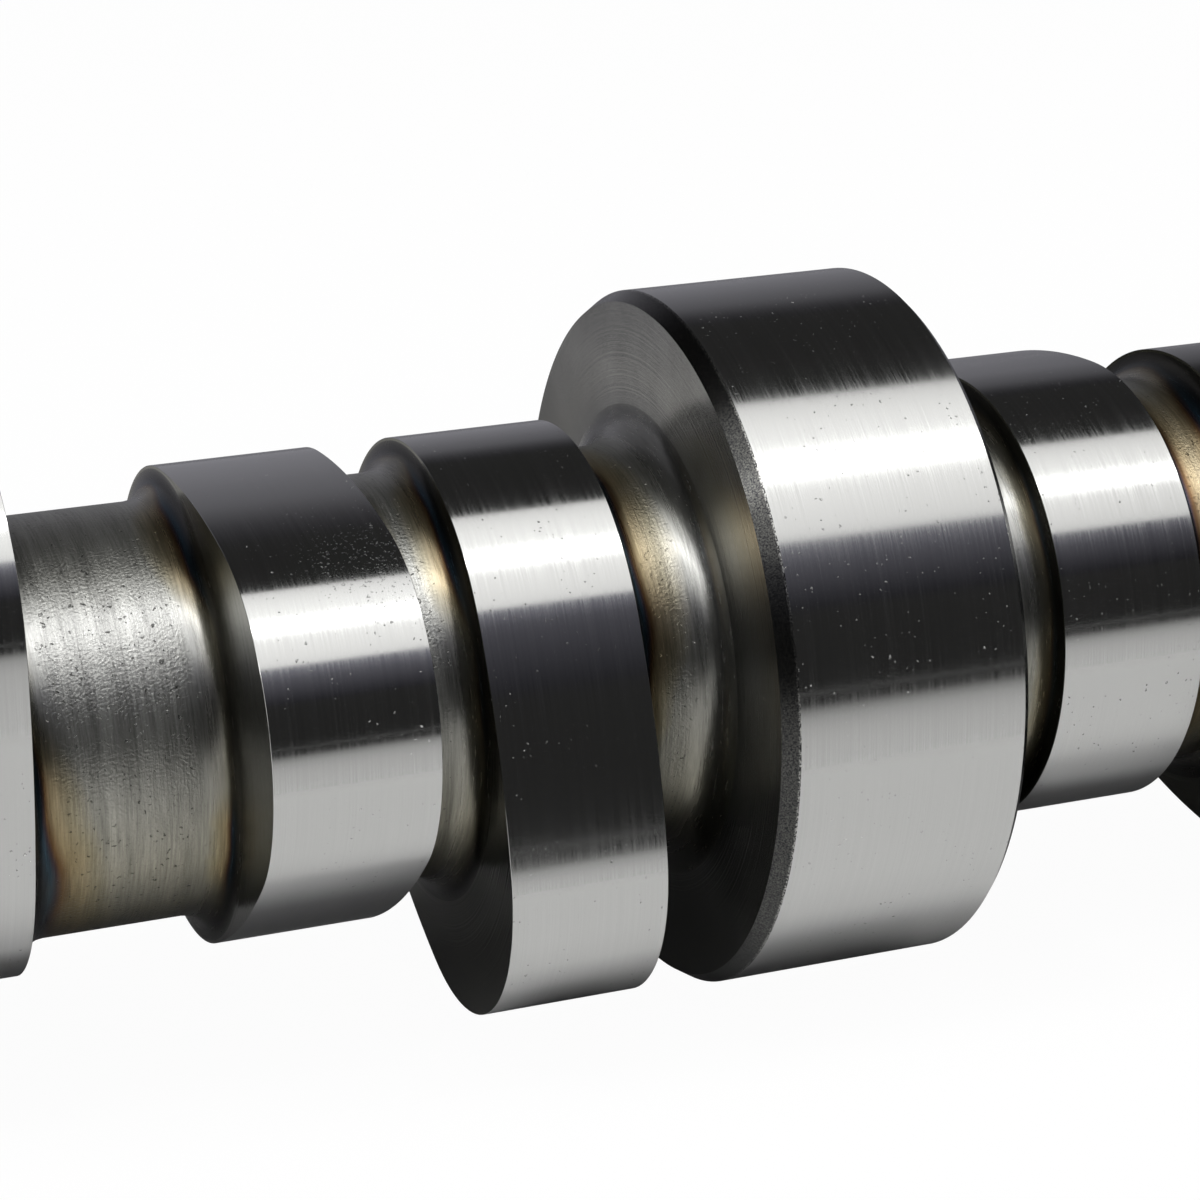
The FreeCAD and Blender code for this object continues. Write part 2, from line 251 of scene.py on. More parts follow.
def add_journal(rear, front, has_rear_core, has_front_core):
    """One bearing journal; the two end journals have a plain face on one side."""
    foot = CORE_R + JOURNAL_ROUND
    lead = JOURNAL_R - LEAD_DEPTH
    if has_rear_core:
        add_round(rear, -1, JOURNAL_ROUND, True, SIDE)
        add_face(rear, foot, lead, True, SIDE)
    add_ring(rear, lead, CHAMFER)
    add_ring(rear + LEAD_LENGTH, JOURNAL_R, GROUND)
    add_ring(front - EDGE_CHAMFER, JOURNAL_R, CHAMFER)
    add_ring(front, JOURNAL_R - EDGE_CHAMFER, SIDE if has_front_core else FACED)
    if has_front_core:
        add_face(front, foot, JOURNAL_R - EDGE_CHAMFER, False, SIDE)
        add_round(front, 1, JOURNAL_ROUND, False, TURNED)


for number in range(4, -1, -1):
    rear_face = BEARINGS[number] - HALF_JOURNAL - (REAR_EXTRA if number == 4 else 0)
    front_face = BEARINGS[number] + HALF_JOURNAL + (THRUST_EXTRA if number == 0 else 0)
    add_journal(rear_face, front_face, number < 4, number > 0)
    before = None
    for middle, nose_degrees in LOBES:
        if number > 0 and BEARINGS[number] < middle < BEARINGS[number - 1]:
            if before:
                add_ring((before + middle) / 2, CORE_R, TURNED)
            add_lobe(middle, nose_degrees)
            before = middle
add_ring(-BOSS_LENGTH, BOSS_R + 0.4, FACED)
add_ring(-BOSS_LENGTH + 0.4, BOSS_R, FACED)
add_ring(-BOSS_CHAMFER, BOSS_R, FACED)
add_ring(0.0, BOSS_R - BOSS_CHAMFER, FACED)
print(len(ring_x), "rings of", AROUND, "points")

# %% [markdown]
# # From rings to a mesh
#
# bmesh lets us add points and faces one by one and knows which face touches which. Every band
# becomes a row of four-sided faces, and its finish becomes the faces' material number. What a ring
# remembers goes into two number layers on the points, which a material can read by name.

# %% Bands of faces
mm = 0.001
shaft_mesh = bmesh.new()
lobe_layer = shaft_mesh.verts.layers.float.new("from_lobe_mm")
wall_layer = shaft_mesh.verts.layers.float.new("from_wall_mm")


def make_loop(points):
    """New points, given in millimetres, with what they remember."""
    loop = []
    for point in points:
        vert = shaft_mesh.verts.new(Vector(point) * mm)
        vert[lobe_layer] = from_lobe(point[0])
        vert[wall_layer] = from_wall(point[0])
        loop.append(vert)
    return loop


def bridge(first, second, finish):
    """One band of faces between two loops with the same number of points."""
    for index in range(len(first)):
        after = (index + 1) % len(first)
        face = shaft_mesh.faces.new((first[index], second[index], second[after], first[after]))
        face.material_index = finish
        face.smooth = True


loops = []
for x, radii in zip(ring_x, ring_r):
    points = zip(np.full(AROUND, x), radii * np.cos(ANGLES), radii * np.sin(ANGLES))
    loops.append(make_loop(points))
for index in range(len(loops) - 1):
    bridge(loops[index], loops[index + 1], band_finish[index])
print(len(shaft_mesh.faces), "faces on the bands")

# %% [markdown]
# # Holes in the ends
#
# The front end carries the timing sprocket: three tapped holes take its bolts and a dowel sets its
# angle. Both ends have a lathe centre, the small cone that held the bar while it was turned. Each
# hole is again a stack of rings. In a tapped hole the radius swings in and out as the thread goes
# round and down, one pitch a turn, so the thread is a real spiral.

# %% One hole
HOLE_AROUND = 28
THREAD_HEIGHT = 0.6


def hole_loop(x, centre_y, centre_z, radius, thread_turns=None):
    """A loop round a hole; thread_turns is how many turns of thread lie above it."""
    points = []
    for step in range(HOLE_AROUND):
        around = 2 * math.pi * step / HOLE_AROUND
        reach = radius
        if thread_turns is not None:
            phase = (thread_turns + step / HOLE_AROUND) % 1.0
            reach += THREAD_HEIGHT * (1 - abs(2 * phase - 1))
        points.append((x, centre_y + reach * math.cos(around), centre_z + reach * math.sin(around)))
    return make_loop(points)


def add_hole(face_x, inward, centre, stations, tip_depth):
    """A blind hole. Each station is (depth, radius, turns of thread or None)."""
    first = None
    before = None
    for depth, radius, turns in stations:
        loop = hole_loop(face_x + inward * depth, centre[0], centre[1], radius, turns)
        if before:
            bridge(before, loop, FACED)
        first = first or loop
        before = loop
    tip = make_loop([(face_x + inward * tip_depth, centre[0], centre[1])])[0]
    for index in range(HOLE_AROUND):
        face = shaft_mesh.faces.new((before[index], tip, before[(index + 1) % HOLE_AROUND]))
        face.material_index = FACED
    return first


print("a loop round a hole has", HOLE_AROUND, "points, and a thread is", THREAD_HEIGHT, "mm deep")

# %% All the holes
THREAD_PITCH, THREAD_BORE, THREAD_DEPTH = 1.25, 3.4, 13.0
BOLT_CIRCLE_R, DOWEL_R, DOWEL_PLACE = 16, 3.0, (0, -15)
PER_TURN = 5      # rings to each turn of thread

tapped = [(0.0, 4.25, None), (0.6, 3.75, None)]    # the mouth is opened with a countersink
for step in range(round(THREAD_DEPTH / THREAD_PITCH * PER_TURN)):
    depth = 0.7 + step * THREAD_PITCH / PER_TURN
    tapped.append((depth, THREAD_BORE, step / PER_TURN))
tapped += [(depth + 0.3, THREAD_BORE, None), (22.0, THREAD_BORE, None)]
dowel_hole = [(0.0, DOWEL_R + 0.3, None), (0.3, DOWEL_R, None), (12.0, DOWEL_R, None)]
lathe_centre = [(0.0, 5.0, None), (5.196, 2.0, None), (7.0, 2.0, None)]

front_rims = []
for around in (90, 210, 330):
    turn = math.radians(around)
    spot = (BOLT_CIRCLE_R * math.cos(turn), BOLT_CIRCLE_R * math.sin(turn))
    front_rims.append(add_hole(0.0, -1, spot, tapped, 24.0))
front_rims.append(add_hole(0.0, -1, DOWEL_PLACE, dowel_hole, 12.0))
front_rims.append(add_hole(0.0, -1, (0, 0), lathe_centre, 8.2))
rear_rims = [add_hole(ring_x[0], 1, (0, 0), lathe_centre, 8.2)]
print(len(front_rims), "holes in front,", len(rear_rims), "behind")

# %% [markdown]
# # Closing the ends
#
# Between the outer edge of an end and the rims of its holes a flat face is still missing. A face with
# holes in it can't be one polygon, so we let bmesh fill the space with triangles. Then every face is
# turned to look outward, and edges that are sharper than 32 degrees are marked, so that the shading
# breaks there and runs smoothly everywhere else. The finished mesh takes the place of the measured
# solid and rides on the same body.

# %% End faces round the holes
SHARP_DEGREES = 32


def rim_edges(loop):
    """The edges round a loop."""
    edges = []
    for index, vert in enumerate(loop):
        after = loop[(index + 1) % len(loop)]
        edges.append(shaft_mesh.edges.get((vert, after)) or shaft_mesh.edges.new((vert, after)))
    return edges


for outer, rims in ((loops[-1], front_rims), (loops[0], rear_rims)):
    edges = rim_edges(outer)
    for rim in rims:
        edges += rim_edges(rim)
    filled = bmesh.ops.triangle_fill(shaft_mesh, edges=edges, use_beauty=True, use_dissolve=False)
    for item in filled["geom"]:
        if isinstance(item, bmesh.types.BMFace):
            item.material_index = FACED
bmesh.ops.recalc_face_normals(shaft_mesh, faces=shaft_mesh.faces)
camshaft_mesh = bpy.data.meshes.new("ground_camshaft")
shaft_mesh.to_mesh(camshaft_mesh)
triangles = sum(len(face.verts) - 2 for face in shaft_mesh.faces)
shaft_mesh.free()
camshaft_mesh.set_sharp_from_angle(angle=math.radians(SHARP_DEGREES))
camshaft = bpy.data.objects.new("ground_camshaft", camshaft_mesh)
scene.collection.objects.link(camshaft)
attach(camshaft, "root")
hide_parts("camshaft")
print("camshaft mesh has", triangles, "triangles")

# %% [markdown]
# # Colours and nodes
#
# Colours are written as sRGB hex values, the numbers that a paint program shows, and one function
# turns them into the linear values that Blender calculates with. Another small function adds a node
# with its settings and links, so that a material reads as a list of what it does. Blender's names for
# these nodes all begin with ShaderNode, and the function puts that in front. Inputs go by name, or
# by number where a node has several of one name: 6 and 7 are the two colours of a Mix node.

# %% Small helpers
def colour(code):
    """Linear colour from an sRGB hex value."""
    values = [int(code[place:place + 2], 16) / 255 for place in (1, 3, 5)]
    linear = [v / 12.92 if v <= 0.04045 else ((v + 0.055) / 1.055)**2.4 for v in values]
    return (*linear, 1.0)


def add_node(tree, kind, inputs=None, **settings):
    """A node. An input takes a value, an output, or a node, which means its first output in use."""
    node = tree.nodes.new("ShaderNode" + kind)
    for name, value in settings.items():
        setattr(node, name, value)
    for name, value in (inputs or {}).items():
        if isinstance(value, bpy.types.Node):
            value = next(socket for socket in value.outputs if socket.enabled)
        if isinstance(value, bpy.types.NodeSocket):
            tree.links.new(value, node.inputs[name])
        else:
            node.inputs[name].default_value = value
    return node


def new_material(name):
    """A material and its node tree, which is still empty."""
    material = bpy.data.materials.new(name)
    material.use_nodes = True
    material.node_tree.nodes.clear()
    return material, material.node_tree


def set_stops(ramp, stops):
    """Colour stops of a ramp node, each a place and a hex value."""
    while len(ramp.color_ramp.elements) < len(stops):
        ramp.color_ramp.elements.new(0.5)
    for element, (place, code) in zip(ramp.color_ramp.elements, stops):
        element.position = place
        element.color = colour(code)


print("white is", colour("#FFFFFF"), "and mid grey", [round(v, 3) for v in colour("#808080")])

# %% [markdown]
# # Ground bearing steel
#
# Journals and lobes are ground with a fine wheel and polished. Such steel is nearly a mirror: about
# 45 percent of the light comes back, and the wheel's scratches, which run round the shaft, blur it
# along the shaft and hardly at all across it. That is what anisotropy means. The scratches of a real
# wheel are about 0.01 mm apart, too fine to show, so they are drawn about 0.12 mm apart.
#
# The surface has specks, small pits of 0.1 to 0.2 mm in loose groups, and one lobe has a whole rash
# of them. Voronoi cells place them: each cell has a random colour, from which we take the size of
# its pit, and the pit is where the distance to the middle of the cell is less than that size.

# %% Cells for pits
def pit_cells(tree, place, crumple_mm, detail, crumple_reach, largest):
    """Voronoi cells 0.45 mm wide, with a pit size for each; crumpling makes the pits uneven."""
    crumple = add_node(tree, "TexNoise", {"Vector": place, "Scale": 1000 / crumple_mm, "Detail": detail})
    crumpled = add_node(tree, "VectorMath", {0: crumple.outputs["Color"], 1: (crumple_reach,) * 3,
                                             2: place}, operation="MULTIPLY_ADD")
    cells = add_node(tree, "TexVoronoi", {"Vector": crumpled, "Scale": 1000 / 0.45, "Randomness": 1.0},
                     feature="F1")
    chance = add_node(tree, "SeparateColor", {"Color": cells.outputs["Color"]})
    size = add_node(tree, "MapRange", {"Value": chance.outputs["Red"], "From Min": 0.3, "From Max": 1.0,
                                       "To Min": 0.0, "To Max": largest})
    return crumpled, cells, size


print("pit cells are 0.45 mm wide, and three in ten stay empty")

# %% Ground steel
RASH_CENTRE = (-0.2830, -0.0186, 0.0174)    # metres
ground, tree = new_material("ground_bearing_steel")
place = add_node(tree, "TexCoord").outputs["Object"]
stretch = add_node(tree, "Mapping", {"Vector": place, "Scale": (1000 / 0.12, 1000 / 22, 1000 / 22)},
                   vector_type="POINT")
scratches = add_node(tree, "TexNoise", {"Vector": stretch, "Scale": 1.0, "Detail": 2.0,
                                        "Roughness": 0.6})
tone = add_node(tree, "ValToRGB", {"Fac": scratches})
set_stops(tone, [(0.3, "#AEAEAC"), (0.7, "#B3B3B1")])
gloss = add_node(tree, "MapRange", {"Value": scratches, "From Min": 0.3, "From Max": 0.7,
                                    "To Min": 0.11, "To Max": 0.21})
crumpled, cells, speck_size = pit_cells(tree, place, 0.25, 1.0, 0.0003, 0.2)
patches = add_node(tree, "TexNoise", {"Vector": place, "Scale": 1000 / 5, "Detail": 2.0})
where = add_node(tree, "MapRange", {"Value": patches, "From Min": 0.4, "From Max": 0.55})
rash_distance = add_node(tree, "VectorMath", {0: place, 1: RASH_CENTRE}, operation="DISTANCE")
rash = add_node(tree, "MapRange", {"Value": rash_distance, "From Min": 0.001, "From Max": 0.0085,
                                   "To Min": 1.0, "To Max": 0.0}, interpolation_type="SMOOTHSTEP")
small_cells = add_node(tree, "TexVoronoi", {"Vector": crumpled, "Scale": 1000 / 0.26, "Randomness": 1.0},
                       feature="F1")
small_chance = add_node(tree, "SeparateColor", {"Color": small_cells.outputs["Color"]})
crowd_size = add_node(tree, "Math", {0: small_chance.outputs["Green"], 1: 0.55, 2: -0.05},
                      operation="MULTIPLY_ADD")
crowded = add_node(tree, "Math", {0: rash, 1: crowd_size}, operation="MULTIPLY")
crowd_edge = add_node(tree, "Math", {0: small_cells, 1: crowded}, operation="SUBTRACT")
lone_size = add_node(tree, "Math", {0: speck_size, 1: where}, operation="MULTIPLY")
lone_edge = add_node(tree, "Math", {0: cells, 1: lone_size}, operation="SUBTRACT")
relative = add_node(tree, "Math", {0: lone_edge, 1: crowd_edge}, operation="MINIMUM")
pits = add_node(tree, "MapRange", {"Value": relative, "From Min": -0.1, "From Max": 0.0,
                                   "To Min": -1.0, "To Max": 0.0}, interpolation_type="SMOOTHSTEP")
bump = add_node(tree, "Bump", {"Height": pits, "Strength": 1.0, "Distance": 0.00012})
axial = add_node(tree, "Tangent", direction_type="RADIAL", axis="X")
shader = add_node(tree, "BsdfPrincipled", {"Base Color": tone, "Metallic": 1.0, "Roughness": gloss,
                                           "Anisotropic": 0.7, "Anisotropic Rotation": 0.25,
                                           "Normal": bump, "Tangent": axial})
add_node(tree, "OutputMaterial", {"Surface": shader})
print(ground.name, len(tree.nodes), "nodes")

# %% [markdown]
# # Turned core with heat tint
#
# Between the lobes the bar keeps the marks of the turning tool: fine grooves that run round it, of
# uneven width, and here and there a pit or a short wrinkle of the forged skin. It gives back about a
# third of the light. Next to each lobe the steel is tinted by heat. The colours come from a thin oxide
# film, and they always follow the same order: straw, brown, purple, blue, and at last almost black in
# the corner and on the flat side of the lobe. Thin Film on the shader could do this as well, but a
# colour ramp over the distance is easier to place and it exports.
#
# The heat never spreads evenly. The distance to the lobe is divided by how far the heat reached: a
# noise makes that uneven, and the hot spots make it several times wider in the places where the shaft
# shows broad tints. Elsewhere a second ramp with the same steps but hardly any colour takes over.
#
# One more ramp, from the bottom of the core to its top, is multiplied over the steel. It is
# painted shade and painted highlight: it darkens and warms the underside and is brightest a little
# below the top, where the softbox's highlight falls.

# %% Turned steel: how far the heat reached
# place along the shaft in mm, degrees round it, how much wider the heat reached, and spot size in mm
HOT_SPOTS = [(-307.0, 228, 2.2, 13), (-307.0, 186, 1.4, 10), (-293.4, 108, 0.85, 9),
             (-293.4, 200, 0.25, 6), (-274.5, 118, 0.7, 10), (-260.8, 134, 1.4, 12),
             (-260.8, 96, 0.9, 8), (-260.8, 168, 0.6, 9), (-208.8, 130, 2.0, 16),
             (-208.8, 195, 1.4, 12), (-194.0, 120, 5.0, 16)]
turned, tree = new_material("turned_and_heat_tinted_steel")
place = add_node(tree, "TexCoord").outputs["Object"]
lobe_distance = add_node(tree, "Attribute", attribute_name="from_lobe_mm").outputs["Fac"]
spread = add_node(tree, "TexNoise", {"Vector": place, "Scale": 1000 / 14, "Detail": 5.0,
                                     "Roughness": 0.65})
shift = add_node(tree, "MapRange", {"Value": spread, "From Min": 0.3, "From Max": 0.7,
                                    "To Min": 0.35, "To Max": 0.65})
warm, further = None, shift
for x, around, more_reach, size in HOT_SPOTS:
    turn = math.radians(around)
    centre = (x * mm, CORE_R * mm * math.cos(turn), CORE_R * mm * math.sin(turn))
    away = add_node(tree, "VectorMath", {0: place, 1: centre}, operation="DISTANCE")
    near = add_node(tree, "MapRange", {"Value": away, "From Min": size * mm / 3, "From Max": size * mm,
                                       "To Min": 1.0, "To Max": 0.0}, interpolation_type="SMOOTHSTEP")
    warm = add_node(tree, "Math", {0: near, 1: warm if warm else 0.0}, operation="MAXIMUM")
    further = add_node(tree, "Math", {0: near, 1: more_reach, 2: further}, operation="MULTIPLY_ADD")
moved = add_node(tree, "Math", {0: lobe_distance, 1: further}, operation="DIVIDE")
reach = add_node(tree, "MapRange", {"Value": moved, "From Min": 0.0, "From Max": 4.0})
print(len(HOT_SPOTS), "hot spots")

# %% Turned steel: the tints, and painted shade by height over them
def painted_shade_by_height(tree, place, low_mm, high_mm, stops):
    """How much painted shade dims the steel between two heights."""
    height = add_node(tree, "SeparateXYZ", {"Vector": place})
    rise = add_node(tree, "MapRange", {"Value": height.outputs["Z"],
                                       "From Min": low_mm * mm, "From Max": high_mm * mm})
    height_shade = add_node(tree, "ValToRGB", {"Fac": rise})
    set_stops(height_shade, stops)
    return height_shade


tinted = add_node(tree, "ValToRGB", {"Fac": reach})
set_stops(tinted, [(0.0, "#55534B"), (0.05, "#34363A"), (0.12, "#3A5265"), (0.155, "#4A3C42"),
                   (0.185, "#74583C"), (0.25, "#A8987A"), (0.46, "#A59E8A"), (0.7, "#A6A6A2"),
                   (1.0, "#A9A9A6")])
dull = add_node(tree, "ValToRGB", {"Fac": reach})
set_stops(dull, [(0.0, "#5A5850"), (0.08, "#4A4841"), (0.17, "#6E6A5E"), (0.25, "#908D80"),
                 (0.42, "#A4A29B"), (1.0, "#A9A9A6")])
heat = add_node(tree, "TexNoise", {"Vector": place, "Scale": 1000 / 20, "Detail": 1.0})
share = add_node(tree, "MapRange", {"Value": heat, "From Min": 0.5, "From Max": 0.7})
coloured = add_node(tree, "Math", {0: share, 1: warm}, operation="MAXIMUM")
tint = add_node(tree, "Mix", {"Factor": coloured, 6: dull, 7: tinted}, data_type="RGBA")
# Painted shade and highlight by height: darker and warmer below, brightest where the highlight falls.
height_shade = painted_shade_by_height(tree, place, -14, 14,
                      [(0.0, "#7C796E"), (0.12, "#A09C8C"), (0.28, "#CCC8B9"), (0.65, "#DCDCD9"),
                       (0.86, "#FFFFFF"), (0.92, "#FFFFFF"), (1.0, "#D2D2CE")])
height_shaded_steel = add_node(tree, "Mix", {"Factor": 1.0, 6: tint, 7: height_shade}, data_type="RGBA",
                 blend_type="MULTIPLY")
print("heat tint has", len(tinted.color_ramp.elements), "stops over 4 mm")

# %% [markdown]
# # Marks of the tool and of the forge
#
# The grooves of the finishing cut are 0.17 mm apart, with slower waves over them where the tool
# chattered, and the steel between them has a fine grain. Pits come from the same cells as before.
# The short wrinkles of the forged skin are the places where a wandering noise passes its middle
# value, and a second noise keeps only a few of them. Pits and wrinkles also darken the colour, as
# painted shade in their hollows. All of this fades out in the corners beside the flat sides, which are
# smoother than the open core and darkened with painted shade.

# %% Turned steel: grooves and grain
fine = add_node(tree, "Mapping", {"Vector": place, "Scale": (1000 / 0.17, 1000 / 4, 1000 / 4)},
                vector_type="POINT")
coarse = add_node(tree, "Mapping", {"Vector": place, "Scale": (1000 / 0.9, 1000 / 30, 1000 / 30)},
                  vector_type="POINT")
grooves = add_node(tree, "TexNoise", {"Vector": fine, "Scale": 1.0, "Detail": 4.0, "Roughness": 0.75})
waves = add_node(tree, "TexNoise", {"Vector": coarse, "Scale": 1.0, "Detail": 2.0, "Roughness": 0.5})
streaks = add_node(tree, "Math", {0: waves, 1: 0.4, 2: grooves}, operation="MULTIPLY_ADD")
grain = add_node(tree, "TexNoise", {"Vector": place, "Scale": 1000 / 0.22, "Detail": 2.0})
wall = add_node(tree, "Attribute", attribute_name="from_wall_mm").outputs["Fac"]
print("grooves and grain make", len(tree.nodes), "nodes so far")

# %% Turned steel: pits and wrinkles
_, cells, pit_size = pit_cells(tree, place, 0.35, 2.0, 0.0007, 0.34)
relative = add_node(tree, "Math", {0: cells, 1: pit_size}, operation="SUBTRACT")
pits = add_node(tree, "MapRange", {"Value": relative, "From Min": -0.12, "From Max": 0.0,
                                   "To Min": -1.0, "To Max": 0.0}, interpolation_type="SMOOTHSTEP")
wander = add_node(tree, "TexNoise", {"Vector": place, "Scale": 1000 / 1.2, "Detail": 3.0,
                                     "Roughness": 0.6, "Distortion": 0.4})
fold = add_node(tree, "Math", {0: wander, 1: 0.5}, operation="SUBTRACT")
line = add_node(tree, "Math", {0: fold}, operation="ABSOLUTE")
wrinkle = add_node(tree, "MapRange", {"Value": line, "From Min": 0.0, "From Max": 0.012,
                                      "To Min": -0.4, "To Max": 0.0}, interpolation_type="SMOOTHSTEP")
rare = add_node(tree, "TexNoise", {"Vector": place, "Scale": 1000 / 1.2, "Detail": 1.0})
rare_share = add_node(tree, "MapRange", {"Value": rare, "From Min": 0.56, "From Max": 0.64})
wrinkles = add_node(tree, "Math", {0: wrinkle, 1: rare_share}, operation="MULTIPLY")
marks = add_node(tree, "Math", {0: pits, 1: wrinkles}, operation="ADD")
print("with pits and wrinkles it is", len(tree.nodes))

# %% Turned steel: the shader
open_core = add_node(tree, "MapRange", {"Value": wall, "From Min": 1.6, "From Max": 3.2})
skin = add_node(tree, "Math", {0: marks, 1: open_core}, operation="MULTIPLY")
rough = add_node(tree, "MapRange", {"Value": wall, "From Min": 1.4, "From Max": 3.2,
                                    "To Min": 0.25, "To Max": 1.0})
ridges = add_node(tree, "Math", {0: streaks, 1: rough}, operation="MULTIPLY")
grains = add_node(tree, "Math", {0: grain, 1: open_core}, operation="MULTIPLY")
groove_bump = add_node(tree, "Bump", {"Height": ridges, "Strength": 0.6, "Distance": 0.00005})
grain_bump = add_node(tree, "Bump", {"Height": grains, "Strength": 0.6, "Distance": 0.00007,
                                     "Normal": groove_bump})
bump = add_node(tree, "Bump", {"Height": skin, "Strength": 0.8, "Distance": 0.00006,
                               "Normal": grain_bump})
sheen = add_node(tree, "MapRange", {"Value": streaks, "From Min": 0.45, "From Max": 0.95,
                                    "To Min": 0.62, "To Max": 1.38})
# Painted shade: pits and wrinkles darken the colour; the streaks add their own tone.
darker = add_node(tree, "Math", {0: skin, 1: 0.55, 2: sheen}, operation="MULTIPLY_ADD")
# Painted shade: the colour darkens towards the corners beside the flat sides.
corner = add_node(tree, "MapRange", {"Value": wall, "From Min": 0.4, "From Max": 3.2,
                                     "To Min": 0.66, "To Max": 1.0})
shaded = add_node(tree, "Math", {0: darker, 1: corner}, operation="MULTIPLY")
toned = add_node(tree, "VectorMath", {"Vector": height_shaded_steel, "Scale": shaded}, operation="SCALE")
smooth = add_node(tree, "MapRange", {"Value": wall, "From Min": 1.2, "From Max": 3.6,
                                     "To Min": 0.2, "To Max": 0.34})
gloss = add_node(tree, "Math", {0: grooves, 1: 0.12, 2: smooth}, operation="MULTIPLY_ADD")
axial = add_node(tree, "Tangent", direction_type="RADIAL", axis="X")
shader = add_node(tree, "BsdfPrincipled", {"Base Color": toned, "Metallic": 0.94, "Roughness": gloss,
                                           "Anisotropic": 0.3, "Anisotropic Rotation": 0.25,
                                           "Normal": bump, "Tangent": axial})
add_node(tree, "OutputMaterial", {"Surface": shader})
print(turned.name, len(tree.nodes), "nodes")

# %% [markdown]
# # Flat sides of lobes and journals
#
# The flat sides are cut square and then stand in the heat of the hardening coil, which leaves those
# of the lobes dark, between grey and olive, with a satin shine and faint rings from the tool. The
# journals are further from the heat, and their sides are a plainer and lighter grey. The distance to
# the nearest lobe tells one from the other, so both can share a material.

# %% Heat-darkened sides
def distance_from_axis(tree, place):
    """The distance from the shaft's axis in metres."""
    across = add_node(tree, "VectorMath", {0: place, 1: (0.0, 1.0, 1.0)}, operation="MULTIPLY")
    return add_node(tree, "VectorMath", {0: across}, operation="LENGTH")


side, tree = new_material("heat_darkened_side_face")
place = add_node(tree, "TexCoord").outputs["Object"]
from_axis = distance_from_axis(tree, place)
rings = add_node(tree, "TexNoise", {"W": from_axis, "Scale": 1000 / 0.25, "Detail": 3.0},
                 noise_dimensions="1D")
haze = add_node(tree, "TexNoise", {"Vector": place, "Scale": 1000 / 6, "Detail": 3.0})
tone = add_node(tree, "ValToRGB", {"Fac": haze})
set_stops(tone, [(0.3, "#666659"), (0.7, "#77776A")])
paler_ramp = add_node(tree, "ValToRGB", {"Fac": haze})
set_stops(paler_ramp, [(0.3, "#8C8C86"), (0.7, "#A2A29C")])
lobe_distance = add_node(tree, "Attribute", attribute_name="from_lobe_mm").outputs["Fac"]
cool = add_node(tree, "MapRange", {"Value": lobe_distance, "From Min": 0.0, "From Max": 4.0})
steel = add_node(tree, "Mix", {"Factor": cool, 6: tone, 7: paler_ramp}, data_type="RGBA")
# Painted shade by height: the sides are darker below and lighter towards the top.
height_shade = painted_shade_by_height(tree, place, -14, 20,
                      [(0.15, "#909090"), (0.45, "#949494"), (0.75, "#9C9C9C"), (0.84, "#C4C4C4"),
                       (1.0, "#FFFFFF")])
height_shaded_steel = add_node(tree, "Mix", {"Factor": 1.0, 6: steel, 7: height_shade}, data_type="RGBA",
                 blend_type="MULTIPLY")
bump = add_node(tree, "Bump", {"Height": rings, "Strength": 0.4, "Distance": 0.00003})
shader = add_node(tree, "BsdfPrincipled", {"Base Color": height_shaded_steel, "Metallic": 0.86, "Roughness": 0.17,
                                           "Normal": bump})
add_node(tree, "OutputMaterial", {"Surface": shader})
print(side.name, len(tree.nodes), "nodes")

# %% [markdown]
# # Chamfers
#
# The chamfers of the journals are left as the tool made them and darken in the quench. They are
# plain turned steel with a fine speckle, and only the rim towards the ground surface is bright,
# where a bearing or a hand has rubbed it.

# %% Chamfer steel
chamfer, tree = new_material("turned_chamfer_steel")
place = add_node(tree, "TexCoord").outputs["Object"]
speckle = add_node(tree, "TexNoise", {"Vector": place, "Scale": 1000 / 0.12, "Detail": 2.0})
tone = add_node(tree, "ValToRGB", {"Fac": speckle})
set_stops(tone, [(0.35, "#28282A"), (0.65, "#52524F")])
from_axis = distance_from_axis(tree, place)
rim = add_node(tree, "MapRange", {"Value": from_axis,
                                  "From Min": (JOURNAL_R - 0.12) * mm, "From Max": (JOURNAL_R - 0.04) * mm})
glint = add_node(tree, "MapRange", {"Value": speckle, "From Min": 0.45, "From Max": 0.6})
worn = add_node(tree, "Math", {0: rim, 1: glint}, operation="MULTIPLY")
metal = add_node(tree, "Mix", {"Factor": worn, 6: tone, 7: colour("#A4A4A0")}, data_type="RGBA")
bump = add_node(tree, "Bump", {"Height": speckle, "Strength": 0.2, "Distance": 0.00001})
shader = add_node(tree, "BsdfPrincipled", {"Base Color": metal, "Metallic": 1.0, "Roughness": 0.22,
                                           "Normal": bump})
add_node(tree, "OutputMaterial", {"Surface": shader})
print(chamfer.name, len(tree.nodes), "nodes")

# %% [markdown]
# # Faced ends
#
# The two end faces, the boss and the holes are cut last, after the hardening, so they are plain
# bright steel. A facing tool moves outward by about 0.1 mm a turn and leaves a fine spiral, drawn
# here as rings 0.3 mm wide so that they show.

# %% Faced steel
faced, tree = new_material("faced_machined_steel")
place = add_node(tree, "TexCoord").outputs["Object"]
from_axis = distance_from_axis(tree, place)
rings = add_node(tree, "TexNoise", {"W": from_axis, "Scale": 1000 / 0.3, "Detail": 3.0},
                 noise_dimensions="1D")
haze = add_node(tree, "TexNoise", {"Vector": place, "Scale": 1000 / 5, "Detail": 3.0})
mottled = add_node(tree, "Math", {0: rings, 1: 0.4, 2: haze}, operation="MULTIPLY_ADD")
tone = add_node(tree, "ValToRGB", {"Fac": mottled})
set_stops(tone, [(0.5, "#8E8E8A"), (0.9, "#A8A8A4")])
gloss = add_node(tree, "MapRange", {"Value": haze, "From Min": 0.3, "From Max": 0.7,
                                    "To Min": 0.24, "To Max": 0.34})
bump = add_node(tree, "Bump", {"Height": rings, "Strength": 0.5, "Distance": 0.00004})
